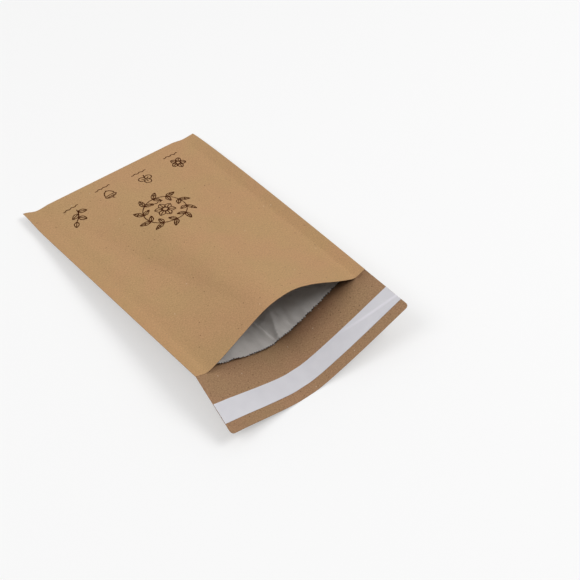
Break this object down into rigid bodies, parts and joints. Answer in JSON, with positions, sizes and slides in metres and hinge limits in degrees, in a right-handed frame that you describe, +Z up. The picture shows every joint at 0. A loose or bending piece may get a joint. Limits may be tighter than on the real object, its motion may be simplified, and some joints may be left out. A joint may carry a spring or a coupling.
{
  "type": "padded envelope",
  "caption": "Kraft paper padded mailer lying open: folded wrapper with flap, paper cushion, grey lining pocket, glue band and peel-off liner.",
  "frame": {"origin": "on the surface that the mailer lies on, under the middle of its outline", "axes": "+X across the mailer to its right seam, +Y from the flap to the foot fold, +Z up from the surface it lies on"},
  "size_m": [0.2, 0.3315, 0.0629],
  "materials": {
    "kraft_paper": "matt brown kraft paper",
    "paper_cushion": "soft shredded paper wadding",
    "lining_paper": "matt grey recycled paper",
    "seal_glue": "clear tacky pressure-sensitive glue",
    "release_paper": "smooth white siliconised paper with a slight sheen",
    "print_ink": "matt dark brown line print"
  },
  "bodies": {
    "root": {"outer_wrapper": "kraft_paper", "padding": "paper_cushion", "inner_lining": "lining_paper", "adhesive_strip": "seal_glue", "release_liner": "release_paper"}
  },
  "joints": []
}
